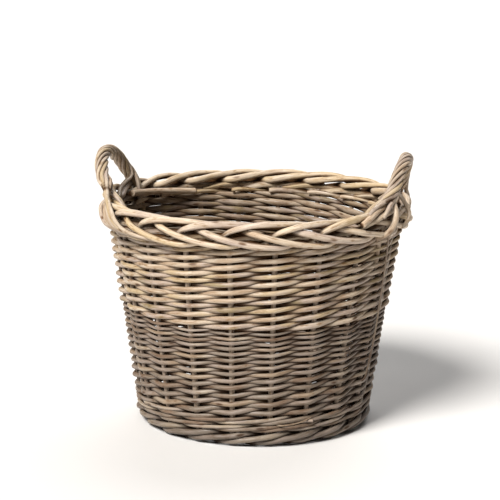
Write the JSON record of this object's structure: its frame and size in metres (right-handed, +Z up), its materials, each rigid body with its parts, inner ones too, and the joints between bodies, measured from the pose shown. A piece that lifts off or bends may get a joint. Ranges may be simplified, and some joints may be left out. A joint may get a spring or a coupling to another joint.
{
  "type": "wicker log basket",
  "caption": "Round tapering willow basket with randed sides, thick rolled rod border, waled foot and two roped side handles.",
  "frame": {"origin": "centre of the basket on the plane that it stands on", "axes": "+Z up along the basket's axis, handles centred on -X (left) and +X (right), front towards -Y"},
  "size_m": [0.4647, 0.46, 0.4012],
  "materials": {
    "weavers": "grey-brown weathered willow rod, satin",
    "stakes": "grey-olive weathered willow rod, satin",
    "border": "pale tan weathered willow rod, satin",
    "base_sticks": "brown willow rod, matt",
    "handle_rope": "grey-tan twisted willow rods, satin"
  },
  "bodies": {
    "root": {"side_stake_01": "stakes", "side_stake_02": "stakes", "side_stake_03": "stakes", "side_stake_04": "stakes", "side_stake_05": "stakes", "side_stake_06": "stakes", "side_stake_07": "stakes", "side_stake_08": "stakes", "side_stake_09": "stakes", "side_stake_10": "stakes", "side_stake_11": "stakes", "side_stake_12": "stakes", "side_stake_13": "stakes", "side_stake_14": "stakes", "side_stake_15": "stakes", "side_stake_16": "stakes", "side_stake_17": "stakes", "side_stake_18": "stakes", "side_stake_19": "stakes", "side_stake_20": "stakes", "base_stick_1": "base_sticks", "base_stick_2": "base_sticks", "base_stick_3": "base_sticks", "base_stick_4": "base_sticks", "base_stick_5": "base_sticks", "base_weave": "weavers", "foot_wale": "weavers", "upsett_wale": "weavers", "lower_siding": "weavers", "upper_siding": "weavers", "border": "border", "handle_left_bow": "handle_rope", "handle_right_bow": "handle_rope", "handle_left_strand_1": "handle_rope", "handle_left_strand_2": "handle_rope", "handle_left_strand_3": "handle_rope", "handle_left_strand_4": "handle_rope", "handle_left_strand_5": "handle_rope", "handle_left_strand_6": "handle_rope", "handle_left_strand_7": "handle_rope", "handle_right_strand_1": "handle_rope", "handle_right_strand_2": "handle_rope", "handle_right_strand_3": "handle_rope", "handle_right_strand_4": "handle_rope", "handle_right_strand_5": "handle_rope", "handle_right_strand_6": "handle_rope", "handle_right_strand_7": "handle_rope"}
  },
  "joints": []
}
